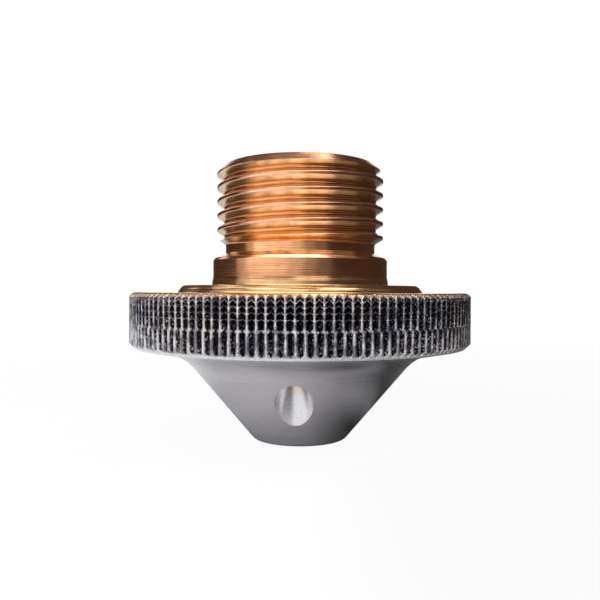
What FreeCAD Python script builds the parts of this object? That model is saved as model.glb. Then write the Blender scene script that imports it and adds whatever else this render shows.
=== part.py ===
import FreeCAD, Part
import math
import os

# Laser cutting nozzle: one piece of copper turned on a lathe, thread up, tip down.
# Millimetres, +Z up along the turning axis, origin at the centre of the tip face.

# Driving dimensions
THREAD_D = 11.9
THREAD_PITCH = 1.0
FLANGE_D = 24.0
FLANGE_THICK = 3.73
TOTAL_HEIGHT = 19.5
CONE_HEIGHT = 6.69
CONE_HALF_ANGLE = 40.0
TIP_D = 6.6
INLET_D = 8.0
ORIFICE_D = 2.0
KNURL_TEETH = 140
SPANNER_HOLE_D = 2.5
SPANNER_CIRCLE_D = 12.0
SPANNER_HOLES = 2
SPANNER_TURN = -93.3

# Sizes of the small features
THREAD_DEPTH = 0.56 * THREAD_PITCH
LEAD_IN = 0.45
THREAD_RUNOUT = 0.35
NECK_R = THREAD_D / 2.0 - THREAD_DEPTH - 0.04
NECK_LENGTH = 0.69
COLLAR_R = 6.235
COLLAR_FOOT_R = 6.31
COLLAR_HEIGHT = 1.94
COLLAR_CONE = 0.3
COLLAR_EDGE = 0.12
COLLAR_FOOT = 0.28
COLLAR_FLARE = 0.6
STEP_TOP_R = 8.31
STEP_HEIGHT = 0.5
STEP_CHAMFER = 0.36
FLANGE_CHAMFER = 0.35
FLANGE_TOP_CHAMFER = 0.38
FLANGE_TOP_FALL = 0.45
UNDERSIDE_SLOPE = 11.0
FILLET_R = 3.2
TIP_ROUND = 0.43
KNURL_DEPTH = 0.24
KNURL_CREST = 0.13
ORIFICE_LAND = 1.4
INLET_DEPTH = 10.0
INLET_CHAMFER = 0.3
SPANNER_DEPTH = 3.0

# Heights above the tip face
FLANGE_BOTTOM = CONE_HEIGHT
FLANGE_TOP = FLANGE_BOTTOM + FLANGE_THICK
STEP_TOP = FLANGE_TOP + STEP_HEIGHT
COLLAR_TOP = STEP_TOP + COLLAR_HEIGHT
NECK_BOTTOM = COLLAR_TOP + COLLAR_CONE
NECK_TOP = NECK_BOTTOM + NECK_LENGTH
FLANGE_R = FLANGE_D / 2.0
THREAD_R = THREAD_D / 2.0


def point(radius, height):
    return FreeCAD.Vector(radius, 0, height)


def cone_radius(height):
    return TIP_D / 2.0 + height * math.tan(math.radians(CONE_HALF_ANGLE))


def tip_arc():
    # Convex rounding between the flat tip face and the cone.
    half = math.radians(CONE_HALF_ANGLE)
    centre_r = cone_radius(TIP_ROUND) - TIP_ROUND / math.cos(half)
    middle = -(math.pi / 2.0 + half) / 2.0
    start = point(centre_r, 0)
    mid = point(centre_r + TIP_ROUND * math.cos(middle), TIP_ROUND + TIP_ROUND * math.sin(middle))
    end = point(centre_r + TIP_ROUND * math.cos(half), TIP_ROUND - TIP_ROUND * math.sin(half))
    return start, mid, end


def underside_arc():
    # Concave fillet tangent to the cone and to the sloping underside of the flange.
    half = math.radians(CONE_HALF_ANGLE)
    slope = math.radians(UNDERSIDE_SLOPE)
    rim_r = FLANGE_R - FLANGE_CHAMFER
    rim_z = FLANGE_BOTTOM
    a1, b1 = math.cos(half), -math.sin(half)
    c1 = FILLET_R + a1 * cone_radius(0)
    a2, b2 = math.sin(slope), -math.cos(slope)
    c2 = FILLET_R + a2 * rim_r + b2 * rim_z
    det = a1 * b2 - a2 * b1
    centre_r = (c1 * b2 - c2 * b1) / det
    centre_z = (a1 * c2 - a2 * c1) / det
    start = point(centre_r - FILLET_R * a1, centre_z - FILLET_R * b1)
    end = point(centre_r - FILLET_R * a2, centre_z - FILLET_R * b2)
    mid_a, mid_b = a1 + a2, b1 + b2
    size = math.hypot(mid_a, mid_b)
    mid = point(centre_r - FILLET_R * mid_a / size, centre_z - FILLET_R * mid_b / size)
    return start, mid, end


def lines(corners):
    return [Part.makeLine(a, b) for a, b in zip(corners, corners[1:])]


def arc(start, mid, end):
    return Part.Arc(start, mid, end).toShape()


def outside_edges():
    # From the tip face up the cone, over the flange and the stem to the top face.
    tip_start, tip_mid, tip_end = tip_arc()
    fillet_start, fillet_mid, fillet_end = underside_arc()
    corners = [
        fillet_end,
        point(FLANGE_R - FLANGE_CHAMFER, FLANGE_BOTTOM),
        point(FLANGE_R, FLANGE_BOTTOM + FLANGE_CHAMFER),
        point(FLANGE_R, FLANGE_TOP - FLANGE_TOP_FALL),
        point(FLANGE_R - FLANGE_TOP_CHAMFER, FLANGE_TOP),
        point(STEP_TOP_R + STEP_CHAMFER, FLANGE_TOP),
        point(STEP_TOP_R + STEP_CHAMFER, STEP_TOP - STEP_CHAMFER),
        point(STEP_TOP_R, STEP_TOP),
        point(COLLAR_FOOT_R, STEP_TOP),
        point(COLLAR_FOOT_R, STEP_TOP + COLLAR_FOOT),
        point(COLLAR_R, STEP_TOP + COLLAR_FLARE),
        point(COLLAR_R, COLLAR_TOP - COLLAR_EDGE),
        point(COLLAR_R - COLLAR_EDGE, COLLAR_TOP),
        point(NECK_R, NECK_BOTTOM),
        point(NECK_R, NECK_TOP),
        point(THREAD_R, NECK_TOP + THREAD_RUNOUT),
        point(THREAD_R, TOTAL_HEIGHT - LEAD_IN),
        point(THREAD_R - THREAD_DEPTH, TOTAL_HEIGHT),
    ]
    edges = [arc(tip_start, tip_mid, tip_end)]
    edges += lines([tip_end, fillet_start])
    edges += [arc(fillet_start, fillet_mid, fillet_end)]
    edges += lines(corners)
    return edges, tip_start, corners[-1]


def passage_edges(top_point, tip_point):
    # From the top face down the inlet bore, the converging cone and the orifice.
    corners = [
        top_point,
        point(INLET_D / 2.0 + INLET_CHAMFER, TOTAL_HEIGHT),
        point(INLET_D / 2.0, TOTAL_HEIGHT - INLET_CHAMFER),
        point(INLET_D / 2.0, TOTAL_HEIGHT - INLET_DEPTH),
        point(ORIFICE_D / 2.0, ORIFICE_LAND),
        point(ORIFICE_D / 2.0, 0),
        tip_point,
    ]
    return lines(corners)


def turned_blank():
    outside, tip_point, top_point = outside_edges()
    wire = Part.Wire(outside + passage_edges(top_point, tip_point))
    face = Part.Face(wire)
    return face.revolve(FreeCAD.Vector(0, 0, 0), FreeCAD.Vector(0, 0, 1), 360)


def knurl_prism():
    # Straight knurl: a toothed outline with one groove between each pair of crests.
    step = 2.0 * math.pi / KNURL_TEETH
    crest = KNURL_CREST / FLANGE_R / 2.0
    corners = []
    for tooth in range(KNURL_TEETH):
        angle = tooth * step
        for turn, radius in (
            (-crest, FLANGE_R),
            (crest, FLANGE_R),
            (step / 2.0, FLANGE_R - KNURL_DEPTH),
        ):
            x = radius * math.cos(angle + turn)
            y = radius * math.sin(angle + turn)
            corners.append(FreeCAD.Vector(x, y, -1))
    corners.append(corners[0])
    face = Part.Face(Part.makePolygon(corners))
    return face.extrude(FreeCAD.Vector(0, 0, TOTAL_HEIGHT + 2))


def spanner_hole(angle):
    # Blind drilled hole parallel to the axis, opening on the cone.
    radius = SPANNER_HOLE_D / 2.0
    circle = SPANNER_CIRCLE_D / 2.0
    mouth_z = (circle - TIP_D / 2.0) / math.tan(math.radians(CONE_HALF_ANGLE))
    end_z = mouth_z + SPANNER_DEPTH
    x = circle * math.cos(math.radians(angle))
    y = circle * math.sin(math.radians(angle))
    shank = Part.makeCylinder(radius, end_z + 1.0, FreeCAD.Vector(x, y, -1.0))
    drill_tip = Part.makeCone(radius, 0, radius * math.tan(math.radians(31)), FreeCAD.Vector(x, y, end_z))
    return shank.fuse(drill_tip)


os.makedirs("parts", exist_ok=True)

body = turned_blank()
body = body.common(knurl_prism())
for index in range(SPANNER_HOLES):
    body = body.cut(spanner_hole(SPANNER_TURN + index * 360.0 / SPANNER_HOLES))
body.exportStep("parts/nozzle_body.step")
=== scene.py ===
import math

import bpy
from mathutils import Matrix, Quaternion, Vector


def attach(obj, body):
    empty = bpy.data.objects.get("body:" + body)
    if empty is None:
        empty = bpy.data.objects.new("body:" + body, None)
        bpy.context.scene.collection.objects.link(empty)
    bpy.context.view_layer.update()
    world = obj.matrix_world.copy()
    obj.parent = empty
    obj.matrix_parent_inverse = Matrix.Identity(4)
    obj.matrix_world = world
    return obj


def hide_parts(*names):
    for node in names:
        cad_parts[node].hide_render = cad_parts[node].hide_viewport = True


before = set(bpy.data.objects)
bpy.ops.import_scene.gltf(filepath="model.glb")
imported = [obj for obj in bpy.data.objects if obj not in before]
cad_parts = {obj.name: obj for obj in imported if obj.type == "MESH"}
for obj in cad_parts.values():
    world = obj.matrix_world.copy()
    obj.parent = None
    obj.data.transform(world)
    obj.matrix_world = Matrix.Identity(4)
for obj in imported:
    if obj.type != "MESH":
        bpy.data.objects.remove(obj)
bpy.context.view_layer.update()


# ---------------------------------------------------------------------------
# The turned blank: one bar of copper, bored and turned on a lathe.
# Its section is drawn in millimetres as corners with their own edge radius,
# then swept round the nozzle's axis, tip face on the floor and thread up.
# ---------------------------------------------------------------------------

TIP_R, TIP_ROUND = 3.3, 0.43
UNDERSIDE_R, UNDERSIDE_Z, UNDERSIDE_FILLET = 8.38, 6.0545, 3.2
FLANGE_R, FLANGE_BOTTOM, FLANGE_TOP = 12.0, 6.69, 10.42
RIM_CHAMFER, RIM_ROUND = 0.35, 0.46
STEP_R, STEP_TOP, STEP_CHAMFER = 8.31, 10.92, 0.36
COLLAR_R, COLLAR_TOP, COLLAR_CHAMFER_R, COLLAR_CHAMFER_Z = 6.235, 12.86, 0.12, 0.18
COLLAR_FOOT, COLLAR_FOOT_TOP, COLLAR_FLARE_TOP = 0.075, 0.28, 0.6
NECK_R, NECK_BOTTOM, NECK_TOP, THREAD_RUNOUT = 5.35, 13.16, 13.85, 0.35
THREAD_R, TOP, LEAD_IN_R, LEAD_IN_Z = 5.95, 19.5, 0.7, 0.6
INLET_R, INLET_CHAMFER, INLET_END = 4.0, 0.3, 9.5
ORIFICE_R, ORIFICE_CHAMFER, ORIFICE_LAND = 1.0, 0.04, 1.4
# the blank stands this far past the knurl, which is cut into it
RIM_SPARE = 0.03

# radius, height, edge radius; up the outside, then down through the gas passage
BLANK_CORNERS = (
    (ORIFICE_R + ORIFICE_CHAMFER, 0.0, 0.0),
    (TIP_R, 0.0, TIP_ROUND),
    (UNDERSIDE_R, UNDERSIDE_Z, UNDERSIDE_FILLET),
    (FLANGE_R - RIM_CHAMFER, FLANGE_BOTTOM, 0.03),
    (FLANGE_R + RIM_SPARE, FLANGE_BOTTOM + RIM_CHAMFER + RIM_SPARE, 0.0),
    (FLANGE_R + RIM_SPARE, FLANGE_TOP, RIM_ROUND),
    # the step, whose chamfer was turned in two passes that left small ledges
    (STEP_R + STEP_CHAMFER, FLANGE_TOP, 0.10),
    (STEP_R + STEP_CHAMFER, STEP_TOP - STEP_CHAMFER, 0.01),
    (STEP_R + 0.29, STEP_TOP - 0.315, 0.01),
    (STEP_R + 0.27, STEP_TOP - 0.26, 0.01),
    (STEP_R + 0.19, STEP_TOP - 0.18, 0.01),
    (STEP_R + 0.178, STEP_TOP - 0.13, 0.01),
    (STEP_R, STEP_TOP, 0.04),
    (COLLAR_R + COLLAR_FOOT, STEP_TOP, 0.08),
    (COLLAR_R + COLLAR_FOOT, STEP_TOP + COLLAR_FOOT_TOP, 0.05),
    (COLLAR_R, STEP_TOP + COLLAR_FLARE_TOP, 0.1),
    (COLLAR_R, COLLAR_TOP - COLLAR_CHAMFER_Z, 0.08),
    (COLLAR_R - COLLAR_CHAMFER_R, COLLAR_TOP, 0.05),
    (NECK_R, NECK_BOTTOM, 0.08),
    (NECK_R, NECK_TOP, 0.2),
    (THREAD_R, NECK_TOP + THREAD_RUNOUT, 0.05),
    (THREAD_R, TOP - LEAD_IN_Z, 0.08),
    (THREAD_R - LEAD_IN_R, TOP, 0.2),
    (INLET_R + INLET_CHAMFER, TOP, 0.04),
    (INLET_R, TOP - INLET_CHAMFER, 0.05),
    (INLET_R, INLET_END, 0.3),
    (ORIFICE_R, ORIFICE_LAND, 0.1),
    (ORIFICE_R, ORIFICE_CHAMFER, 0.0),
)


def rounded(corners, degrees_per_step=12.0):
    """The closed section as points, each corner replaced by an arc of its own radius."""
    points = []
    count = len(corners)
    for index, (radius, height, edge) in enumerate(corners):
        corner = Vector((radius, height))
        before = (Vector(corners[index - 1][:2]) - corner).normalized()
        after = (Vector(corners[(index + 1) % count][:2]) - corner).normalized()
        turn = math.pi - before.angle(after)
        if edge == 0.0 or turn < 0.01:
            points.append(corner)
            continue
        inward = (before + after).normalized()
        centre = corner + inward * (edge / math.cos(turn / 2.0))
        first = corner + before * (edge * math.tan(turn / 2.0)) - centre
        side = 1.0 if first.x * before.y - first.y * before.x < 0.0 else -1.0
        steps = max(2, math.ceil(math.degrees(turn) / degrees_per_step))
        for step in range(steps + 1):
            angle = side * turn * step / steps
            points.append(centre + Matrix.Rotation(angle, 2) @ first)
    return points


def section_mesh(name, points):
    """A section as loose points in the XZ plane, one vertex for each."""
    mesh = bpy.data.meshes.new(name)
    mesh.from_pydata([(r, 0.0, z) for r, z in points], [], [])
    return mesh


def add(tree, kind, inputs=None, **settings):
    """Adds one node, sets its settings, and fills or links its inputs."""
    node = tree.nodes.new(kind)
    for name, value in settings.items():
        setattr(node, name, value)
    for key, value in (inputs or {}).items():
        if isinstance(value, bpy.types.NodeSocket):
            tree.links.new(value, node.inputs[key])
        else:
            node.inputs[key].default_value = value
    return node


def new_tree(name, sockets):
    """An empty Geometry Nodes tree with named inputs; gives the tree and those inputs."""
    tree = bpy.data.node_groups.new(name, "GeometryNodeTree")
    tree.interface.new_socket("Geometry", in_out="INPUT", socket_type="NodeSocketGeometry")
    for label, kind in sockets:
        tree.interface.new_socket(label, in_out="INPUT", socket_type="NodeSocket" + kind)
    tree.interface.new_socket("Geometry", in_out="OUTPUT", socket_type="NodeSocketGeometry")
    return tree, add(tree, "NodeGroupInput").outputs


def finish_tree(tree, geometry, surface=None):
    """Ends the tree in Realize Instances and, for what is seen, Set Material."""
    solid = add(tree, "GeometryNodeRealizeInstances", {0: geometry}).outputs[0]
    if surface is not None:
        solid = add(tree, "GeometryNodeSetMaterial", {0: solid, **surface}).outputs[0]
    add(tree, "NodeGroupOutput", {0: solid})


def made_by(tree, mesh, values, finishing=()):
    """Runs the tree on the mesh and gives the result back as a plain mesh."""
    holder = bpy.data.objects.new(tree.name, mesh)
    bpy.context.collection.objects.link(holder)
    modifier = holder.modifiers.new(tree.name, "NODES")
    modifier.node_group = tree
    for item in tree.interface.items_tree:
        if item.in_out == "INPUT" and item.name in values:
            modifier[item.identifier] = values[item.name]
    for kind, settings in finishing:
        extra = holder.modifiers.new(kind, kind)
        for name, value in settings.items():
            setattr(extra, name, value)
    graph = bpy.context.evaluated_depsgraph_get()
    result = bpy.data.meshes.new_from_object(holder.evaluated_get(graph), depsgraph=graph)
    holder.modifiers.clear()
    bpy.data.objects.remove(holder)
    return result


def turning_tree():
    """Sweeps a section round the Z axis: closed rings, or a helix when it has a pitch."""
    tree, given = new_tree("turn section about the axis", (
        ("Steps", "Int"), ("Turns", "Float"), ("Pitch", "Float"),
        ("Start Turn", "Float"), ("Start Height", "Float"),
        ("Section Closed", "Int"), ("Pointed Ends", "Float"), ("Merge Distance", "Float"),
    ))
    size = add(
        tree, "GeometryNodeAttributeDomainSize", {0: given["Geometry"]},
    ).outputs["Point Count"]
    rows = add(
        tree, "FunctionNodeIntegerMath", {0: size, 1: given["Section Closed"]}, operation="ADD",
    ).outputs[0]
    columns = add(
        tree, "FunctionNodeIntegerMath", {0: given["Steps"], 1: 1}, operation="ADD",
    ).outputs[0]
    grid = add(tree, "GeometryNodeMeshGrid", {"Vertices X": columns, "Vertices Y": rows}).outputs[0]
    index = add(tree, "GeometryNodeInputIndex").outputs[0]
    column = add(
        tree, "FunctionNodeIntegerMath", {0: index, 1: rows}, operation="DIVIDE_FLOOR",
    ).outputs[0]
    row = add(tree, "FunctionNodeIntegerMath", {0: index, 1: rows}, operation="MODULO").outputs[0]
    row = add(tree, "FunctionNodeIntegerMath", {0: row, 1: size}, operation="MODULO").outputs[0]
    place = add(tree, "GeometryNodeInputPosition").outputs[0]
    drawn = add(
        tree, "GeometryNodeSampleIndex",
        {0: given["Geometry"], "Value": place, "Index": row}, data_type="FLOAT_VECTOR",
    ).outputs[0]
    middle = add(
        tree, "GeometryNodeAttributeStatistic", {0: given["Geometry"], "Attribute": place},
        data_type="FLOAT_VECTOR",
    ).outputs["Mean"]

    # a sweep with pointed ends shrinks its first and last section to one point
    part = add(
        tree, "ShaderNodeMath", {0: column, 1: given["Steps"]}, operation="DIVIDE",
    ).outputs[0]
    from_end = add(tree, "ShaderNodeMath", {0: part, 1: 0.5}, operation="SUBTRACT").outputs[0]
    from_end = add(tree, "ShaderNodeMath", {0: from_end}, operation="ABSOLUTE").outputs[0]
    at_end = add(
        tree, "ShaderNodeMath", {0: from_end, 1: 0.4999}, operation="GREATER_THAN",
    ).outputs[0]
    shrink = add(
        tree, "ShaderNodeMath", {0: at_end, 1: given["Pointed Ends"]}, operation="MULTIPLY",
    ).outputs[0]
    drawn = add(
        tree, "ShaderNodeMix", {"Factor": shrink, 4: drawn, 5: middle}, data_type="VECTOR",
    ).outputs[1]

    # each column of the grid is one place of the section on its way round
    turned = add(
        tree, "ShaderNodeMath", {0: part, 1: given["Turns"]}, operation="MULTIPLY",
    ).outputs[0]
    angle = add(
        tree, "ShaderNodeMath", {0: turned, 1: 2.0 * math.pi, 2: given["Start Turn"]},
        operation="MULTIPLY_ADD",
    ).outputs[0]
    rise = add(
        tree, "ShaderNodeMath", {0: turned, 1: given["Pitch"], 2: given["Start Height"]},
        operation="MULTIPLY_ADD",
    ).outputs[0]
    swept = add(
        tree, "ShaderNodeVectorRotate", {"Vector": drawn, "Angle": angle}, rotation_type="Z_AXIS",
    ).outputs[0]
    lift = add(tree, "ShaderNodeCombineXYZ", {"Z": rise}).outputs[0]
    moved = add(tree, "ShaderNodeVectorMath", {0: swept, 1: lift}, operation="ADD").outputs[0]
    shell = add(tree, "GeometryNodeSetPosition", {0: grid, "Position": moved}).outputs[0]
    shell = add(
        tree, "GeometryNodeMergeByDistance", {0: shell, "Distance": given["Merge Distance"]},
    ).outputs[0]
    finish_tree(tree, shell)
    return tree


MERGE_DISTANCE = 1e-4
turning = turning_tree()
blank = made_by(turning, section_mesh("blank section", rounded(BLANK_CORNERS)), {
    "Steps": 240,
    "Turns": 1.0,
    "Section Closed": 1,
    "Merge Distance": MERGE_DISTANCE,
})


# ---------------------------------------------------------------------------
# The thread: M12 x 1, right-hand, cut with a 60 degree single-point tool.
# The cutter is the groove's own section swept along its helix. It starts in
# the relief neck and leaves through the top face, as the real groove does.
# ---------------------------------------------------------------------------

THREAD_PITCH, GROOVE_DEPTH = 1.0, 0.505
GROOVE_START_Z, GROOVE_START_TURN, GROOVE_TURNS, STEPS_PER_TURN = 13.45, 223.2, 6.75, 112
# radius and half width, from outside the thread to the root; the edges of the crests, which
# stay 0.12 mm wide, are rounded, and the root is narrow
GROOVE_HALF = (
    (THREAD_R + 0.300, 0.470),
    (THREAD_R + 0.006, 0.470),
    (THREAD_R - 0.001, 0.440),
    (THREAD_R - 0.006, 0.410),
    (THREAD_R - 0.019, 0.389),
    (THREAD_R - 0.040, 0.371),
    (THREAD_R - 0.470, 0.123),
    (THREAD_R - 0.495, 0.075),
)

groove_points = list(GROOVE_HALF)
groove_points.append((THREAD_R - GROOVE_DEPTH, 0.0))
groove_points += [(r, -half) for r, half in reversed(GROOVE_HALF)]
thread_cutter = made_by(turning, section_mesh("thread groove section", groove_points), {
    "Steps": round(GROOVE_TURNS * STEPS_PER_TURN),
    "Turns": GROOVE_TURNS,
    "Pitch": THREAD_PITCH,
    "Start Turn": math.radians(GROOVE_START_TURN),
    "Start Height": GROOVE_START_Z,
    "Section Closed": 1,
    "Pointed Ends": 1.0,
    "Merge Distance": MERGE_DISTANCE,
})


# ---------------------------------------------------------------------------
# The spanner holes: two blind holes drilled into the cone, parallel to the
# axis, for the pins of a spanner. The drill has a 118 degree point.
# ---------------------------------------------------------------------------

SPANNER_R, SPANNER_CIRCLE_R, SPANNER_TURN, SPANNER_COUNT = 1.25, 6.0, -93.3, 2
DRILL_START, SPANNER_END, DRILL_POINT_ANGLE = -1.0, 6.218, 118.0


def drilling_tree():
    """Repeats the drill round a circle."""
    tree, given = new_tree("drills on a circle", (
        ("Count", "Int"), ("Circle Radius", "Float"), ("First Turn", "Float"),
    ))
    index = add(tree, "GeometryNodeInputIndex").outputs[0]
    share = add(
        tree, "ShaderNodeMath", {0: index, 1: given["Count"]}, operation="DIVIDE",
    ).outputs[0]
    angle = add(
        tree, "ShaderNodeMath", {0: share, 1: 2.0 * math.pi, 2: given["First Turn"]},
        operation="MULTIPLY_ADD",
    ).outputs[0]
    out = add(tree, "ShaderNodeCombineXYZ", {"X": given["Circle Radius"]}).outputs[0]
    centre = add(
        tree, "ShaderNodeVectorRotate", {"Vector": out, "Angle": angle}, rotation_type="Z_AXIS",
    ).outputs[0]
    places = add(
        tree, "GeometryNodePoints", {"Count": given["Count"], "Position": centre},
    ).outputs[0]
    copies = add(
        tree, "GeometryNodeInstanceOnPoints", {"Points": places, "Instance": given["Geometry"]},
    ).outputs[0]
    finish_tree(tree, copies)
    return tree


point_length = SPANNER_R * math.tan(math.radians(90.0 - DRILL_POINT_ANGLE / 2.0))
drill_section = section_mesh("drill section", (
    (0.0, DRILL_START),
    (SPANNER_R, DRILL_START),
    (SPANNER_R, SPANNER_END),
    (0.0, SPANNER_END + point_length),
))
drill = made_by(turning, drill_section, {
    "Steps": 72, "Turns": 1.0, "Section Closed": 0, "Merge Distance": MERGE_DISTANCE,
})
drills = made_by(drilling_tree(), drill, {
    "Count": SPANNER_COUNT,
    "Circle Radius": SPANNER_CIRCLE_R,
    "First Turn": math.radians(SPANNER_TURN),
})


# ---------------------------------------------------------------------------
# The knurl: a straight knurl pressed into the rim by a wheel in two passes,
# so the teeth of the lower pass don't quite meet those of the upper one.
# The tool is a toothed prism, and the rim keeps only what lies inside it.
# ---------------------------------------------------------------------------

TEETH = 140
TOOTH_PITCH = 2.0 * math.pi * FLANGE_R / TEETH
DENTS_PER_MM = 2.2
PASS_SEAM_Z, PLATED_TOP_Z = 8.3, FLANGE_TOP - 0.45

# along the rim from the middle of a groove, and depth below the crest
TOOTH_SECTION = (
    (0.000, 0.260),
    (0.185, 0.050),
    (0.225, 0.013),
    (0.252, 0.002),
    (TOOTH_PITCH - 0.252, 0.002),
    (TOOTH_PITCH - 0.225, 0.013),
    (TOOTH_PITCH - 0.185, 0.050),
)
# height, and share of the full depth: shallow at the seam and at four marks of the wheel
KNURL_LEVELS = (
    (-1.0, 1.0), (6.6, 1.0), (6.9, 1.0), (7.25, 1.0), (7.6, 1.0), (7.95, 1.0), (8.19, 1.0),
    (8.25, 0.40), (8.36, 0.40), (8.42, 1.0),
    (8.85, 1.0), (8.88, 0.22), (8.91, 0.22), (8.94, 1.0),
    (9.20, 1.0), (9.23, 0.20), (9.26, 0.20), (9.29, 1.0),
    (9.52, 1.0), (9.55, 0.18), (9.58, 0.18), (9.61, 1.0),
    (9.81, 1.0), (9.84, 0.12), (9.88, 0.12), (9.91, 1.0), (10.5, 1.0), (20.6, 1.0),
)


def knurl_tree():
    """A toothed prism: the tooth section repeated round the rim, at each of the levels."""
    tree, given = new_tree("knurled prism", (
        ("Levels", "Object"), ("Teeth", "Int"), ("Rim Radius", "Float"), ("Tooth Pitch", "Float"),
        ("Seam Height", "Float"), ("Seam Shift", "Float"), ("Seam Swing", "Float"),
        ("Chevron Rise", "Float"), ("Chevron Height", "Float"), ("Dents", "Float"),
        ("Unevenness", "Float"), ("Seed", "Float"), ("Merge Distance", "Float"),
    ))
    levels = add(tree, "GeometryNodeObjectInfo", {"Object": given["Levels"]}).outputs["Geometry"]
    per_tooth = add(tree, "GeometryNodeAttributeDomainSize", {0: given["Geometry"]}).outputs[0]
    rows = add(tree, "GeometryNodeAttributeDomainSize", {0: levels}).outputs[0]
    around = add(
        tree, "FunctionNodeIntegerMath", {0: per_tooth, 1: given["Teeth"], 2: 1},
        operation="MULTIPLY_ADD",
    ).outputs[0]
    grid = add(tree, "GeometryNodeMeshGrid", {"Vertices X": around, "Vertices Y": rows}).outputs[0]
    index = add(tree, "GeometryNodeInputIndex").outputs[0]
    column = add(
        tree, "FunctionNodeIntegerMath", {0: index, 1: rows}, operation="DIVIDE_FLOOR",
    ).outputs[0]
    row = add(tree, "FunctionNodeIntegerMath", {0: index, 1: rows}, operation="MODULO").outputs[0]
    tooth = add(
        tree, "FunctionNodeIntegerMath", {0: column, 1: per_tooth}, operation="DIVIDE_FLOOR",
    ).outputs[0]
    step = add(
        tree, "FunctionNodeIntegerMath", {0: column, 1: per_tooth}, operation="MODULO",
    ).outputs[0]
    place = add(tree, "GeometryNodeInputPosition").outputs[0]
    profile = add(
        tree, "GeometryNodeSampleIndex", {0: given["Geometry"], "Value": place, "Index": step},
        data_type="FLOAT_VECTOR",
    ).outputs[0]
    level = add(
        tree, "GeometryNodeSampleIndex", {0: levels, "Value": place, "Index": row},
        data_type="FLOAT_VECTOR",
    ).outputs[0]
    profile = add(tree, "ShaderNodeSeparateXYZ", {0: profile}).outputs
    level = add(tree, "ShaderNodeSeparateXYZ", {0: level}).outputs

    # round the rim, where the lower pass is out of step by a share of a tooth
    along = add(
        tree, "ShaderNodeMath", {0: tooth, 1: given["Tooth Pitch"], 2: profile["X"]},
        operation="MULTIPLY_ADD",
    ).outputs[0]
    angle = add(
        tree, "ShaderNodeMath", {0: along, 1: given["Rim Radius"]}, operation="DIVIDE",
    ).outputs[0]
    side = add(tree, "ShaderNodeMath", {0: angle}, operation="COSINE").outputs[0]
    shift = add(
        tree, "ShaderNodeMath", {0: side, 1: given["Seam Swing"], 2: given["Seam Shift"]},
        operation="MULTIPLY_ADD",
    ).outputs[0]
    below = add(
        tree, "ShaderNodeMath", {0: level["Z"], 1: given["Seam Height"]}, operation="LESS_THAN",
    ).outputs[0]
    shift = add(tree, "ShaderNodeMath", {0: shift, 1: below}, operation="MULTIPLY").outputs[0]
    shift = add(
        tree, "ShaderNodeMath", {0: shift, 1: given["Tooth Pitch"]}, operation="MULTIPLY",
    ).outputs[0]
    shift = add(
        tree, "ShaderNodeMath", {0: shift, 1: given["Rim Radius"]}, operation="DIVIDE",
    ).outputs[0]
    angle = add(tree, "ShaderNodeMath", {0: angle, 1: shift}, operation="ADD").outputs[0]

    # in from the rim, and up: in the grooves above the seam the marks of the wheel are arched
    depth = add(
        tree, "ShaderNodeMath", {0: profile["Z"], 1: level["Y"]}, operation="MULTIPLY",
    ).outputs[0]
    radius = add(
        tree, "ShaderNodeMath", {0: given["Rim Radius"], 1: depth}, operation="SUBTRACT",
    ).outputs[0]
    above = add(
        tree, "ShaderNodeMapRange",
        {"Value": level["Z"], 1: given["Seam Height"], 2: given["Chevron Height"]},
    ).outputs[0]
    rise = add(
        tree, "ShaderNodeMath", {0: profile["Z"], 1: given["Chevron Rise"]}, operation="MULTIPLY",
    ).outputs[0]
    height = add(
        tree, "ShaderNodeMath", {0: rise, 1: above, 2: level["Z"]}, operation="MULTIPLY_ADD",
    ).outputs[0]
    flat = add(tree, "ShaderNodeCombineXYZ", {"X": radius, "Z": height}).outputs[0]
    ring = add(
        tree, "ShaderNodeVectorRotate", {"Vector": flat, "Angle": angle}, rotation_type="Z_AXIS",
    ).outputs[0]

    # dents in the crests, and the two closed ends of the prism
    wave = add(
        tree, "ShaderNodeTexNoise",
        {"Vector": ring, "W": given["Seed"], "Scale": given["Dents"], "Detail": 2.0},
        noise_dimensions="4D",
    ).outputs[0]
    dent = add(
        tree, "ShaderNodeMath", {0: wave, 1: given["Unevenness"]}, operation="MULTIPLY",
    ).outputs[0]
    radius = add(tree, "ShaderNodeMath", {0: radius, 1: dent}, operation="SUBTRACT").outputs[0]
    radius = add(
        tree, "ShaderNodeMath", {0: radius, 1: level["X"]}, operation="MULTIPLY",
    ).outputs[0]
    flat = add(tree, "ShaderNodeCombineXYZ", {"X": radius, "Z": height}).outputs[0]
    ring = add(
        tree, "ShaderNodeVectorRotate", {"Vector": flat, "Angle": angle}, rotation_type="Z_AXIS",
    ).outputs[0]
    shell = add(tree, "GeometryNodeSetPosition", {0: grid, "Position": ring}).outputs[0]
    shell = add(
        tree, "GeometryNodeMergeByDistance", {0: shell, "Distance": given["Merge Distance"]},
    ).outputs[0]
    finish_tree(tree, shell)
    return tree


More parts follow.
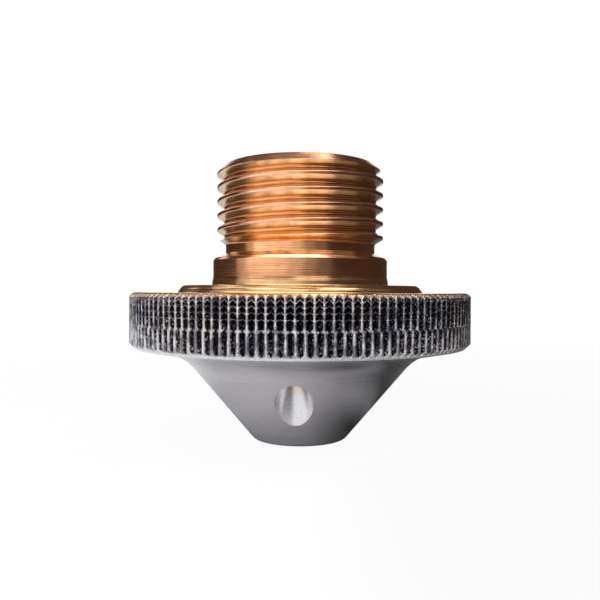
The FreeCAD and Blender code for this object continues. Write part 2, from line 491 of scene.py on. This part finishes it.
# the first number closes the prism: 1 on its side, 0 in the middle of its two ends
level_points = [(1.0, share, height) for height, share in KNURL_LEVELS]
level_points.insert(0, (0.0, 1.0, KNURL_LEVELS[0][0]))
level_points.append((0.0, 1.0, KNURL_LEVELS[-1][0]))
level_mesh = bpy.data.meshes.new("knurl levels")
level_mesh.from_pydata(level_points, [], [])
levels_holder = bpy.data.objects.new("knurl levels", level_mesh)
bpy.context.collection.objects.link(levels_holder)
knurled_prism = made_by(knurl_tree(), section_mesh("tooth section", TOOTH_SECTION), {
    "Levels": levels_holder,
    "Teeth": TEETH,
    "Rim Radius": FLANGE_R,
    "Tooth Pitch": TOOTH_PITCH,
    "Seam Height": PASS_SEAM_Z,
    "Seam Shift": 0.1,
    "Seam Swing": 0.45,
    "Chevron Rise": 0.9,
    "Chevron Height": PLATED_TOP_Z,
    "Dents": DENTS_PER_MM,
    "Unevenness": 0.03,
    "Seed": 7.0,
    "Merge Distance": MERGE_DISTANCE,
})
bpy.data.objects.remove(levels_holder)


# ---------------------------------------------------------------------------
# The three surfaces of the nozzle. The cone and the knurl are nickel plated;
# the stem, the flange's top and the gas passage are bare turned copper.
# ---------------------------------------------------------------------------


def linear(hex_code):
    """An sRGB hex colour as the linear colour that a shader takes."""
    channels = [int(hex_code[i:i + 2], 16) / 255.0 for i in (1, 3, 5)]
    return [c / 12.92 if c <= 0.04045 else ((c + 0.055) / 1.055) ** 2.4 for c in channels] + [1.0]


def new_material(name):
    """An empty node material; gives it and its tree."""
    material = bpy.data.materials.new(name)
    material.use_nodes = True
    material.node_tree.nodes.clear()
    return material, material.node_tree


def on_part(tree):
    """The place on the nozzle in millimetres, its X, Y and Z, and its distance from the axis."""
    place = add(tree, "ShaderNodeTexCoord").outputs["Object"]
    millimetres = add(
        tree, "ShaderNodeVectorMath", {0: place, 1: (1000.0, 1000.0, 1000.0)},
        operation="MULTIPLY",
    ).outputs[0]
    axes = add(tree, "ShaderNodeSeparateXYZ", {0: millimetres}).outputs
    flat = add(tree, "ShaderNodeCombineXYZ", {"X": axes["X"], "Y": axes["Y"]}).outputs[0]
    radius = add(tree, "ShaderNodeVectorMath", {0: flat}, operation="LENGTH").outputs["Value"]
    return millimetres, axes, radius


def finish_material(tree, inputs):
    """Ends the material in one metallic surface."""
    surface = add(tree, "ShaderNodeBsdfPrincipled", {"Metallic": 1.0, **inputs}).outputs[0]
    add(tree, "ShaderNodeOutputMaterial", {"Surface": surface})


# Copper, turned: warm metal with fine tool marks every 0.11 mm, which stretch
# each highlight across them, round the stem and along the thread's helix. Hands
# leave the collar and neck browner and the crests pinker; the root is orange.
MARKS_PER_MM, STAINS_PER_MM = 9.0, 1.1
STAINED_FROM, STAINED_TO, STAIN_SHARE = 0.42, 0.75, 0.35
COLLAR_WALL = (STEP_TOP + 0.45, COLLAR_TOP)
NECK_WALL = (NECK_BOTTOM + 0.06, NECK_TOP)
GROOVE_PHASE = 0.17
LAMP_TINT_FACING_DOWN, LAMP_TINT_FACING_OUT = -0.6, -0.1
LEAD_IN_FILM_Z, PASSAGE_WALL_R = TOP - 0.55, INLET_R + 0.6
CREST_FROM, CREST_TO = THREAD_R - 0.06, THREAD_R - 0.02
ROOT_FROM, ROOT_TO, ROOT_SHARE = THREAD_R - 0.38, THREAD_R - 0.47, 0.95
MARK_ROUGHNESS, LEAST_ROUGHNESS, MARK_HEIGHT_M = 0.14, 0.12, 0.00001

turned_copper, tree = new_material("turned copper")
millimetres, axes, radius = on_part(tree)
on_thread = add(
    tree, "ShaderNodeMath", {0: axes["Z"], 1: NECK_TOP + 0.05}, operation="GREATER_THAN",
).outputs[0]
turn = add(tree, "ShaderNodeMath", {0: axes["Y"], 1: axes["X"]}, operation="ARCTAN2").outputs[0]
rise = add(
    tree, "ShaderNodeMath", {0: turn, 1: -THREAD_PITCH / (2.0 * math.pi), 2: axes["Z"]},
    operation="MULTIPLY_ADD",
).outputs[0]
rise = add(tree, "ShaderNodeMath", {0: rise, 1: GROOVE_PHASE}, operation="ADD").outputs[0]
rise = add(
    tree, "ShaderNodeMath", {0: rise, 1: THREAD_PITCH}, operation="FLOORED_MODULO",
).outputs[0]
along = add(
    tree, "ShaderNodeMix", {"Factor": on_thread, 2: axes["Z"], 3: rise}, data_type="FLOAT",
).outputs[0]
rings = add(tree, "ShaderNodeCombineXYZ", {"X": radius, "Y": along}).outputs[0]
tool_marks = add(
    tree, "ShaderNodeTexNoise", {"Vector": rings, "Scale": MARKS_PER_MM, "Detail": 3.0},
    noise_dimensions="2D",
).outputs[0]

# the colours of the turned walls: plain, and browner where hands hold the collar and neck
handled = 0.0
for low, high in (COLLAR_WALL, NECK_WALL):
    on_wall = add(
        tree, "ShaderNodeMath", {0: axes["Z"], 1: (low + high) / 2.0, 2: (high - low) / 2.0},
        operation="COMPARE",
    ).outputs[0]
    handled = add(
        tree, "ShaderNodeMath", {0: on_wall, 1: handled}, operation="MAXIMUM",
    ).outputs[0]
wall = add(
    tree, "ShaderNodeMix", {"Factor": handled, 6: linear("#FBCC96"), 7: linear("#FAB888")},
    data_type="RGBA",
).outputs[2]

# the colours of the thread: its lower flanks, its upper flanks, and its crests and lead-in; the
# flanks' split by facing is painted light, yellower where they face down and pinker where they face
# out, for the tints of the lamps they mirror
crest = add(
    tree, "ShaderNodeMapRange", {"Value": radius, 1: CREST_FROM, 2: CREST_TO},
).outputs[0]
lead_in = add(
    tree, "ShaderNodeMath", {0: axes["Z"], 1: LEAD_IN_FILM_Z}, operation="GREATER_THAN",
).outputs[0]
crest = add(tree, "ShaderNodeMath", {0: crest, 1: lead_in}, operation="MAXIMUM").outputs[0]
# painted light: the flanks' tint follows which way they face
facing = add(tree, "ShaderNodeTexCoord").outputs["Normal"]
facing = add(tree, "ShaderNodeSeparateXYZ", {0: facing}).outputs["Z"]
facing = add(
    tree, "ShaderNodeMapRange", {"Value": facing, 1: LAMP_TINT_FACING_DOWN, 2: LAMP_TINT_FACING_OUT},
).outputs[0]
flank = add(
    tree, "ShaderNodeMix", {"Factor": facing, 6: linear("#FAE3BD"), 7: linear("#FCDDBC")},
    data_type="RGBA",
).outputs[2]
flank = add(
    tree, "ShaderNodeMix", {"Factor": crest, 6: flank, 7: linear("#F5B597")}, data_type="RGBA",
).outputs[2]
bare = add(
    tree, "ShaderNodeMix", {"Factor": on_thread, 6: wall, 7: flank}, data_type="RGBA",
).outputs[2]

# brown stains about 1 mm wide, and a deep orange tint in the groove's root, outside the gas passage
stain = add(
    tree, "ShaderNodeTexNoise",
    {"Vector": millimetres, "Scale": STAINS_PER_MM, "Detail": 5.0, "Roughness": 0.6},
).outputs[0]
stain = add(
    tree, "ShaderNodeMapRange", {"Value": stain, 1: STAINED_FROM, 2: STAINED_TO},
).outputs[0]
stain = add(tree, "ShaderNodeMath", {0: stain, 1: STAIN_SHARE}, operation="MULTIPLY").outputs[0]
colour = add(
    tree, "ShaderNodeMix", {"Factor": stain, 6: bare, 7: linear("#B8683C")}, data_type="RGBA",
).outputs[2]
root = add(
    tree, "ShaderNodeMapRange", {"Value": radius, 1: ROOT_FROM, 2: ROOT_TO, 4: ROOT_SHARE},
).outputs[0]
root = add(tree, "ShaderNodeMath", {0: root, 1: on_thread}, operation="MULTIPLY").outputs[0]
outside = add(
    tree, "ShaderNodeMath", {0: radius, 1: PASSAGE_WALL_R}, operation="GREATER_THAN",
).outputs[0]
root = add(tree, "ShaderNodeMath", {0: root, 1: outside}, operation="MULTIPLY").outputs[0]
colour = add(
    tree, "ShaderNodeMix", {"Factor": root, 6: colour, 7: linear("#EDA264")}, data_type="RGBA",
).outputs[2]
roughness = add(
    tree, "ShaderNodeMath", {0: tool_marks, 1: MARK_ROUGHNESS, 2: LEAST_ROUGHNESS},
    operation="MULTIPLY_ADD",
).outputs[0]
relief = add(
    tree, "ShaderNodeBump", {"Height": tool_marks, "Strength": 0.7, "Distance": MARK_HEIGHT_M},
).outputs[0]
finish_material(tree, {"Base Color": colour, "Roughness": roughness, "Normal": relief})

# Nickel plate on the knurl: hard and bright, with a fine pimpled crust. The
# deep grooves are darkened with painted shade, blue-black or brown in patches like
# the residue they hold; the crests that hands touch stay clean and unshaded, the
# lower edge most. The top thins to copper.
# The crust is drawn coarser than a real one, so that it shows.
PIMPLES_PER_MM, PATCHES_PER_MM, TARNISH_PER_MM = 9.0, 0.35, 1.6
PIMPLE_WEAR, LOW_PASS_WEAR, SEAM_WEAR = 0.11, 0.07, 0.010
SEAM_HALF, SEAM_FADED = 0.05, 0.12
SHADE_AND_RESIDUE_DEPTH, CLEAN_UNSHADED_DEPTH = 0.118, 0.076
SPECKLE_FROM, SPECKLE_TO = 0.625, 0.655
BROWN_FROM, BROWN_TO = 0.48, 0.60
TARNISH_FROM, TARNISH_TO = 0.43, 0.60
LOWER_EDGE_FROM, LOWER_EDGE_TO = 6.92, 6.84
THIN_FROM, THIN_TO = 10.12, 10.34
SATIN_FROM, SATIN_TO, CREST_ROUGHNESS, GROOVE_ROUGHNESS = 0.02, 0.08, 0.24, 0.32
PIMPLE_HEIGHT_M = 0.00009

knurl_plate, tree = new_material("nickel plated knurl")
millimetres, axes, radius = on_part(tree)
pimples = add(
    tree, "ShaderNodeTexNoise",
    {"Vector": millimetres, "Scale": PIMPLES_PER_MM, "Detail": 2.0, "Roughness": 0.7},
).outputs[0]

# the depth below the crests, which the rim's two chamfers bring inwards
below_rim = add(
    tree, "ShaderNodeMath", {0: axes["Z"], 1: FLANGE_R - RIM_CHAMFER - FLANGE_BOTTOM},
    operation="ADD",
).outputs[0]
above_rim = add(
    tree, "ShaderNodeMath", {0: FLANGE_R + PLATED_TOP_Z + 0.12, 1: axes["Z"]},
    operation="SUBTRACT",
).outputs[0]
crest = add(
    tree, "ShaderNodeMath", {0: below_rim, 1: above_rim}, operation="MINIMUM",
).outputs[0]
crest = add(tree, "ShaderNodeMath", {0: crest, 1: FLANGE_R}, operation="MINIMUM").outputs[0]
depth = add(tree, "ShaderNodeMath", {0: crest, 1: radius}, operation="SUBTRACT").outputs[0]

# the painted groove shade ends deeper where wear reaches deeper: on the lower pass, along the seam
# and on single pimples
shade_depth_after_wear = add(
    tree, "ShaderNodeMath", {0: pimples, 1: PIMPLE_WEAR, 2: depth}, operation="MULTIPLY_ADD",
).outputs[0]
low_pass = add(
    tree, "ShaderNodeMapRange",
    {"Value": axes["Z"], 1: FLANGE_BOTTOM + 0.3, 2: PASS_SEAM_Z + 0.9, 3: LOW_PASS_WEAR, 4: 0.0},
).outputs[0]
shade_depth_after_wear = add(
    tree, "ShaderNodeMath", {0: low_pass, 1: -0.95, 2: shade_depth_after_wear}, operation="MULTIPLY_ADD",
).outputs[0]
seam = add(
    tree, "ShaderNodeMath", {0: axes["Z"], 1: PASS_SEAM_Z + 0.02}, operation="SUBTRACT",
).outputs[0]
seam = add(tree, "ShaderNodeMath", {0: seam}, operation="ABSOLUTE").outputs[0]
seam = add(
    tree, "ShaderNodeMapRange", {"Value": seam, 1: SEAM_HALF, 2: SEAM_FADED, 3: SEAM_WEAR, 4: 0.0},
).outputs[0]
shade_depth_after_wear = add(tree, "ShaderNodeMath", {0: shade_depth_after_wear, 1: seam}, operation="SUBTRACT").outputs[0]
# painted shade: plate deeper than this takes the dark groove colour, except on the speckles
clean_unshaded = add(
    tree, "ShaderNodeMapRange", {"Value": shade_depth_after_wear, 1: SHADE_AND_RESIDUE_DEPTH, 2: CLEAN_UNSHADED_DEPTH},
).outputs[0]
crust = add(tree, "ShaderNodeMath", {0: pimples, 1: low_pass}, operation="ADD").outputs[0]
speckle = add(
    tree, "ShaderNodeMapRange", {"Value": crust, 1: SPECKLE_FROM, 2: SPECKLE_TO},
).outputs[0]
clean_unshaded = add(tree, "ShaderNodeMath", {0: clean_unshaded, 1: speckle}, operation="MAXIMUM").outputs[0]

patches = add(
    tree, "ShaderNodeTexNoise",
    {"Vector": millimetres, "Scale": PATCHES_PER_MM, "Detail": 1.0},
).outputs[0]
brown = add(
    tree, "ShaderNodeMapRange", {"Value": patches, 1: BROWN_FROM, 2: BROWN_TO},
).outputs[0]
# the colour of the painted groove shade, blue-black, and brown in patches like residue
groove_shade_and_residue = add(
    tree, "ShaderNodeMix", {"Factor": brown, 6: linear("#181B2C"), 7: linear("#2B1B1A")},
    data_type="RGBA",
).outputs[2]
tarnish = add(
    tree, "ShaderNodeTexNoise",
    {"Vector": millimetres, "Scale": TARNISH_PER_MM, "Detail": 2.0},
).outputs[0]
tarnish = add(
    tree, "ShaderNodeMapRange", {"Value": tarnish, 1: TARNISH_FROM, 2: TARNISH_TO},
).outputs[0]
bright = add(
    tree, "ShaderNodeMix", {"Factor": tarnish, 6: linear("#EAE6EA"), 7: linear("#8C8C97")},
    data_type="RGBA",
).outputs[2]
plate = add(
    tree, "ShaderNodeMix", {"Factor": clean_unshaded, 6: groove_shade_and_residue, 7: bright}, data_type="RGBA",
).outputs[2]
# the lower edge is left bright, without painted shade
lower_edge = add(
    tree, "ShaderNodeMapRange", {"Value": axes["Z"], 1: LOWER_EDGE_FROM, 2: LOWER_EDGE_TO},
).outputs[0]
plate = add(
    tree, "ShaderNodeMix", {"Factor": lower_edge, 6: plate, 7: linear("#F8F8FA")},
    data_type="RGBA",
).outputs[2]
thin = add(
    tree, "ShaderNodeMapRange", {"Value": axes["Z"], 1: THIN_FROM, 2: THIN_TO},
).outputs[0]
colour = add(
    tree, "ShaderNodeMix", {"Factor": thin, 6: plate, 7: linear("#F8D0A8")}, data_type="RGBA",
).outputs[2]
relief = add(
    tree, "ShaderNodeBump", {"Height": pimples, "Strength": 1.0, "Distance": PIMPLE_HEIGHT_M},
).outputs[0]
satin = add(
    tree, "ShaderNodeMapRange",
    {"Value": depth, 1: SATIN_FROM, 2: SATIN_TO, 3: CREST_ROUGHNESS, 4: GROOVE_ROUGHNESS},
).outputs[0]
finish_material(tree, {"Base Color": colour, "Roughness": satin, "Normal": relief})

# Nickel plate on the cone: satin and even, with faint turning rings under it.
# In the spanner holes it thins out upwards, and the copper shows through.
CONE_SLOPE = math.tan(math.radians(40.0))
RINGS_PER_MM, RING_HEIGHT_M = 7.0, 0.000005
LEAST_SATIN, MOST_SATIN = 0.22, 0.30
HOLE_THIN_FROM, HOLE_THIN_TO = 1.7, 3.2

cone_plate, tree = new_material("nickel plated cone")
millimetres, axes, radius = on_part(tree)
cone_height = add(
    tree, "ShaderNodeMapRange",
    {"Value": radius, 1: TIP_R, 2: FLANGE_R, 3: 0.0, 4: (FLANGE_R - TIP_R) / CONE_SLOPE},
).outputs[0]
depth = add(
    tree, "ShaderNodeMath", {0: axes["Z"], 1: cone_height}, operation="SUBTRACT",
).outputs[0]
bare = add(
    tree, "ShaderNodeMapRange", {"Value": depth, 1: HOLE_THIN_FROM, 2: HOLE_THIN_TO},
).outputs[0]
rings = add(tree, "ShaderNodeCombineXYZ", {"X": radius, "Y": axes["Z"]}).outputs[0]
tool_marks = add(
    tree, "ShaderNodeTexNoise", {"Vector": rings, "Scale": RINGS_PER_MM, "Detail": 2.0},
    noise_dimensions="2D",
).outputs[0]
colour = add(
    tree, "ShaderNodeMix", {"Factor": bare, 6: linear("#EEECF1"), 7: linear("#F0C6A4")},
    data_type="RGBA",
).outputs[2]
roughness = add(
    tree, "ShaderNodeMapRange", {"Value": tool_marks, 3: LEAST_SATIN, 4: MOST_SATIN},
).outputs[0]
relief = add(
    tree, "ShaderNodeBump", {"Height": tool_marks, "Strength": 0.15, "Distance": RING_HEIGHT_M},
).outputs[0]
finish_material(tree, {"Base Color": colour, "Roughness": roughness, "Normal": relief})


# ---------------------------------------------------------------------------
# The finished nozzle: the blank inside the knurled prism, less the thread's
# groove and the spanner holes. It is one piece, like the real one.
# ---------------------------------------------------------------------------


def nozzle_tree():
    """Cuts the blank with its tools, then gives each region its surface."""
    tree, given = new_tree("finished nozzle", (
        ("Knurled Prism", "Object"), ("Thread Cutter", "Object"), ("Drills", "Object"),
        ("Bare Above", "Float"), ("Rim Inside", "Float"), ("Passage Outside", "Float"),
        ("Sharp Edge Angle", "Float"), ("Merge Distance", "Float"),
        ("Bare Metal", "Material"), ("Knurl Plate", "Material"), ("Cone Plate", "Material"),
    ))
    tools = {
        name: add(tree, "GeometryNodeObjectInfo", {"Object": given[name]}).outputs["Geometry"]
        for name in ("Knurled Prism", "Thread Cutter", "Drills")
    }
    kept = add(tree, "GeometryNodeMeshBoolean", operation="INTERSECT", solver="MANIFOLD")
    tree.links.new(tools["Knurled Prism"], kept.inputs[1])
    tree.links.new(given["Geometry"], kept.inputs[1])
    cut = add(
        tree, "GeometryNodeMeshBoolean", {0: kept.outputs[0]},
        operation="DIFFERENCE", solver="MANIFOLD",
    )
    tree.links.new(tools["Thread Cutter"], cut.inputs[1])
    tree.links.new(tools["Drills"], cut.inputs[1])
    solid = add(
        tree, "GeometryNodeMergeByDistance",
        {0: cut.outputs[0], "Distance": given["Merge Distance"]},
    ).outputs[0]

    bend = add(tree, "GeometryNodeInputMeshEdgeAngle").outputs["Unsigned Angle"]
    sharp = add(
        tree, "FunctionNodeCompare", {0: bend, 1: given["Sharp Edge Angle"]},
        operation="GREATER_THAN",
    ).outputs[0]
    solid = add(
        tree, "GeometryNodeSetShadeSmooth", {0: solid, "Shade Smooth": True}, domain="FACE",
    ).outputs[0]
    solid = add(
        tree, "GeometryNodeSetShadeSmooth",
        {0: solid, "Selection": sharp, "Shade Smooth": False}, domain="EDGE",
    ).outputs[0]

    place = add(tree, "GeometryNodeInputPosition").outputs[0]
    out = add(
        tree, "ShaderNodeVectorMath", {0: place, 1: (1.0, 1.0, 0.0)}, operation="MULTIPLY",
    ).outputs[0]
    radius = add(tree, "ShaderNodeVectorMath", {0: out}, operation="LENGTH").outputs["Value"]
    height = add(tree, "ShaderNodeSeparateXYZ", {0: place}).outputs["Z"]
    facing = add(tree, "GeometryNodeInputNormal").outputs[0]
    outward = add(
        tree, "ShaderNodeVectorMath", {0: out, 1: facing}, operation="DOT_PRODUCT",
    ).outputs["Value"]
    rim, above = [
        add(tree, "FunctionNodeCompare", {0: size, 1: limit}, operation="GREATER_THAN").outputs[0]
        for size, limit in ((radius, given["Rim Inside"]), (height, given["Bare Above"]))
    ]
    near, inward = [
        add(tree, "FunctionNodeCompare", {0: size, 1: limit}, operation="LESS_THAN").outputs[0]
        for size, limit in ((radius, given["Passage Outside"]), (outward, -0.01))
    ]
    passage = add(
        tree, "FunctionNodeBooleanMath", {0: near, 1: inward}, operation="AND",
    ).outputs[0]
    bare = add(
        tree, "FunctionNodeBooleanMath", {0: above, 1: passage}, operation="OR",
    ).outputs[0]
    solid = add(
        tree, "GeometryNodeSetMaterial", {0: solid, "Material": given["Cone Plate"]},
    ).outputs[0]
    solid = add(
        tree, "GeometryNodeSetMaterial",
        {0: solid, "Selection": rim, "Material": given["Knurl Plate"]},
    ).outputs[0]
    finish_tree(tree, solid, {"Selection": bare, "Material": given["Bare Metal"]})
    return tree


tools = {}
for label, mesh in (
    ("Knurled Prism", knurled_prism), ("Thread Cutter", thread_cutter), ("Drills", drills),
):
    tools[label] = bpy.data.objects.new(label, mesh)
    bpy.context.collection.objects.link(tools[label])
finished = made_by(nozzle_tree(), blank, {
    **tools,
    "Bare Above": FLANGE_TOP - 0.1,
    "Rim Inside": FLANGE_R - 0.42,
    "Passage Outside": INLET_R + 0.4,
    "Sharp Edge Angle": math.radians(35.0),
    "Merge Distance": 2e-4,
    "Bare Metal": turned_copper,
    "Knurl Plate": knurl_plate,
    "Cone Plate": cone_plate,
}, finishing=(("WEIGHTED_NORMAL", {"keep_sharp": True}),))
for tool in tools.values():
    bpy.data.objects.remove(tool)

finished.name = "nozzle"
if finished.materials[0] is None:
    finished.materials.pop(index=0)
finished.transform(Matrix.Scale(0.001, 4))
nozzle = bpy.data.objects.new("nozzle", finished)
bpy.context.collection.objects.link(nozzle)
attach(nozzle, "root")
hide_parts("nozzle_body")


# ---------------------------------------------------------------------------
# The studio: a pale floor and a card behind, both white to the camera, and
# dark surroundings. The floor's colour holds painted shadow and light that the
# cone mirrors, and a ring of it glows white for the metal, a painted reflection.
# Rows of soft boxes in front light the stem and the knurl, and a few overhead and
# behind draw the bright lines on the turned edges.
# ---------------------------------------------------------------------------

SKY_GREY, ROOM_LIGHT, WHITE = 0.055, 0.01, (1.0, 1.0, 1.0, 1.0)
# The cone mirrors the floor, so the floor's colour is painted with the cone's
# light and shade: in metres from the axis, where a painted shadow darkens its right
# side, a paler painted ring of light in that dark side, and painted shade under the tip.
RIGHT_FROM, RIGHT_TO = 0.0005, 0.0045
RING_R, RING_WIDTH, RING_SHARE = 0.0071, 0.0025, 0.1
SHADE_FROM, SHADE_TO, SHADE_SHARE = 0.0035, 0.0062, 0.5
# how far from the axis the floor's own shadow shows, before it is all white
SHADOW_FROM, SHADOW_TO = 0.02, 0.12
# the floor lies 0.02 mm below the tip face, which would flicker in it otherwise
FLOOR_Z, FLOOR_HALF = -0.00002, 2.0
BACKDROP_Y, BACKDROP_HALF, BACKDROP_TOP = 0.16, 0.05, 0.12


def card(name, corners):
    """A flat four-cornered sheet."""
    mesh = bpy.data.meshes.new(name)
    mesh.from_pydata(corners, [], [(0, 1, 2, 3)])
    sheet = bpy.data.objects.new(name, mesh)
    bpy.context.collection.objects.link(sheet)
    return sheet


def pale_card(name, colour, far_colour, shown, mirrored):
    """A matt card that the camera sees as white, by the share shown near the nozzle.

    Its colour is painted with shadow and light: far_colour on the right, a paler ring,
    and shade round the tip. Metal sees it glow white too, a painted reflection, by the
    first share in mirrored, on a ring with that radius and half width, in front of that Y.
    """
    material, tree = new_material(name)
    place = add(tree, "ShaderNodeTexCoord").outputs["Object"]
    axes = add(tree, "ShaderNodeSeparateXYZ", {0: place}).outputs
    away = add(tree, "ShaderNodeVectorMath", {0: place}, operation="LENGTH").outputs["Value"]
    # painted shadow: the colour turns to far_colour on the right, save in a paler painted ring of
    # light
    right = add(
        tree, "ShaderNodeMapRange", {"Value": axes["X"], 1: RIGHT_FROM, 2: RIGHT_TO},
    ).outputs[0]
    ring = add(tree, "ShaderNodeMath", {0: away, 1: RING_R}, operation="SUBTRACT").outputs[0]
    ring = add(tree, "ShaderNodeMath", {0: ring}, operation="ABSOLUTE").outputs[0]
    ring = add(
        tree, "ShaderNodeMapRange",
        {"Value": ring, 1: 0.0, 2: RING_WIDTH, 3: RING_SHARE, 4: 1.0},
    ).outputs[0]
    right = add(tree, "ShaderNodeMath", {0: right, 1: ring}, operation="MULTIPLY").outputs[0]
    tone = add(
        tree, "ShaderNodeMix", {"Factor": right, 6: linear(colour), 7: linear(far_colour)},
        data_type="RGBA",
    ).outputs[2]
    # painted shade round the tip
    shade = add(
        tree, "ShaderNodeMapRange",
        {"Value": away, 1: SHADE_FROM, 2: SHADE_TO, 3: SHADE_SHARE, 4: 0.0},
    ).outputs[0]
    tone = add(
        tree, "ShaderNodeMix", {"Factor": shade, 6: tone, 7: linear("#808080")},
        data_type="RGBA",
    ).outputs[2]
    matt = add(tree, "ShaderNodeBsdfDiffuse", {"Color": tone}).outputs[0]
    white = add(tree, "ShaderNodeEmission", {"Color": WHITE, "Strength": 1.0}).outputs[0]

    path = add(tree, "ShaderNodeLightPath").outputs
    seen = add(
        tree, "ShaderNodeMapRange",
        {"Value": away, 1: SHADOW_FROM, 2: SHADOW_TO, 3: shown, 4: 1.0},
    ).outputs[0]
    seen = add(
        tree, "ShaderNodeMath", {0: path["Is Camera Ray"], 1: seen}, operation="MULTIPLY",
    ).outputs[0]
    share, middle, reach, before = mirrored
    # painted reflection: a ring in front glows white for glossy rays only
    glossy = add(
        tree, "ShaderNodeMath", {0: away, 1: middle, 2: reach}, operation="COMPARE",
    ).outputs[0]
    glossy = add(tree, "ShaderNodeMath", {0: glossy, 1: share}, operation="MULTIPLY").outputs[0]
    front = add(
        tree, "ShaderNodeMath", {0: axes["Y"], 1: before}, operation="LESS_THAN",
    ).outputs[0]
    glossy = add(tree, "ShaderNodeMath", {0: glossy, 1: front}, operation="MULTIPLY").outputs[0]
    lit = add(
        tree, "ShaderNodeMath", {0: path["Is Glossy Ray"], 1: glossy, 2: seen},
        operation="MULTIPLY_ADD",
    ).outputs[0]
    mixed = add(tree, "ShaderNodeMixShader", {0: lit, 1: matt, 2: white}).outputs[0]
    add(tree, "ShaderNodeOutputMaterial", {"Surface": mixed})
    return material


floor = card("floor", [
    (-FLOOR_HALF, -FLOOR_HALF, FLOOR_Z), (FLOOR_HALF, -FLOOR_HALF, FLOOR_Z),
    (FLOOR_HALF, FLOOR_HALF, FLOOR_Z), (-FLOOR_HALF, FLOOR_HALF, FLOOR_Z),
])
floor.data.materials.append(
    pale_card("matt white floor", "#F2F2F2", "#6E6E6E", 0.95, (0.7, 0.0135, 0.003, -0.006))
)
backdrop = card("backdrop", [
    (-BACKDROP_HALF, BACKDROP_Y, 0), (BACKDROP_HALF, BACKDROP_Y, 0),
    (BACKDROP_HALF, BACKDROP_Y, BACKDROP_TOP), (-BACKDROP_HALF, BACKDROP_Y, BACKDROP_TOP),
])
backdrop.data.materials.append(
    pale_card("matt white backdrop", "#FFFFFF", "#FFFFFF", 1.0, (1.0, 0.0, 1.0, 1.0))
)

world = bpy.data.worlds.new("studio")
bpy.context.scene.world = world
world.use_nodes = True
world.node_tree.nodes.clear()
tree = world.node_tree
path = add(tree, "ShaderNodeLightPath").outputs
white = add(tree, "ShaderNodeBackground", {"Color": WHITE, "Strength": 1.0}).outputs[0]
strength = add(
    tree, "ShaderNodeMapRange", {"Value": path["Is Glossy Ray"], 3: ROOM_LIGHT, 4: SKY_GREY},
).outputs[0]
dim = add(
    tree, "ShaderNodeBackground", {"Color": linear("#FFDCCB"), "Strength": strength},
).outputs[0]
mixed = add(tree, "ShaderNodeMixShader", {0: path["Is Camera Ray"], 1: dim, 2: white}).outputs[0]
add(tree, "ShaderNodeOutputWorld", {"Surface": mixed})

AIM, LAMP_DISTANCE = Vector((0.0, 0.0, 0.0099)), 0.2


def soft_box(name, azimuth, elevation, width, height, strength):
    """A soft box that faces the nozzle and looks as bright as the strength says."""
    lamp = bpy.data.lights.new(name, "AREA")
    lamp.shape = "RECTANGLE"
    lamp.size, lamp.size_y, lamp.energy = width, height, strength * math.pi * width * height
    box = bpy.data.objects.new(name, lamp)
    side, up = math.radians(azimuth), math.radians(elevation)
    away = Vector((math.sin(side) * math.cos(up), -math.cos(side) * math.cos(up), math.sin(up)))
    box.location = AIM + LAMP_DISTANCE * away
    box.rotation_euler = (-away).to_track_quat("-Z", "Y").to_euler()
    bpy.context.collection.objects.link(box)


# degrees to the right of the camera and above the nozzle's middle, size in metres, brightness;
# the flanks of the thread mirror the high row, and its crests and the stem the low one
for azimuth, strength in ((-72.0, 1.5), (-38.0, 1.3), (-4.0, 1.5), (29.0, 1.2)):
    soft_box("high soft box", azimuth, 45.0, 0.078, 0.092, strength)
for azimuth, strength in ((-72.0, 5.2), (-32.0, 4.9), (4.0, 4.6), (38.0, 5.4)):
    soft_box("upper soft box", azimuth, 67.0, 0.05, 0.06, strength)
soft_box("right high strip", 49.0, 45.0, 0.032, 0.092, 1.0)
soft_box("middle soft box", 15.0, 27.0, 0.14, 0.03, 0.85)
soft_box("side soft box", -132.0, 24.0, 0.08, 0.05, 0.8)
soft_box("overhead soft box", -106.0, 74.0, 0.11, 0.09, 0.6)
soft_box("left overhead strip", -131.0, 50.0, 0.038, 0.045, 1.7)
soft_box("overhead strip", 98.0, 70.0, 0.06, 0.06, 2.8)
soft_box("right fill", 78.0, 42.0, 0.12, 0.12, 0.2)
soft_box("back soft box", 166.0, 62.0, 0.05, 0.035, 3.6)
for azimuth, strength in (
    (-78.0, 0.55), (-60.0, 1.0), (-42.0, 0.9), (-24.0, 0.78), (-6.0, 0.6), (12.0, 0.38),
    (30.0, 0.18),
):
    soft_box("low soft box", azimuth, 13.0, 0.064, 0.088, strength)
for azimuth, strength in ((-60.0, 1.0), (-32.0, 1.0), (-6.0, 0.4)):
    soft_box("low strip", azimuth, 10.5, 0.10, 0.034, strength)

# the camera stands 47.5 mm in front of the axis, level with the flange, and leans 0.2 degrees
CAMERA_PLACE, CAMERA_LEAN = (0.0, -0.0475, 0.01056), 0.2
lens = bpy.data.cameras.new("camera")
lens.sensor_width = 36.0
lens.lens = 39.33
lens.clip_start = 0.001
camera = bpy.data.objects.new("camera", lens)
camera.location = CAMERA_PLACE
towards = (AIM - camera.location).to_track_quat("-Z", "Y")
camera.rotation_euler = (towards @ Quaternion((0, 0, 1), math.radians(CAMERA_LEAN))).to_euler()
bpy.context.collection.objects.link(camera)
bpy.context.scene.camera = camera
bpy.context.scene.view_settings.view_transform = "Standard"
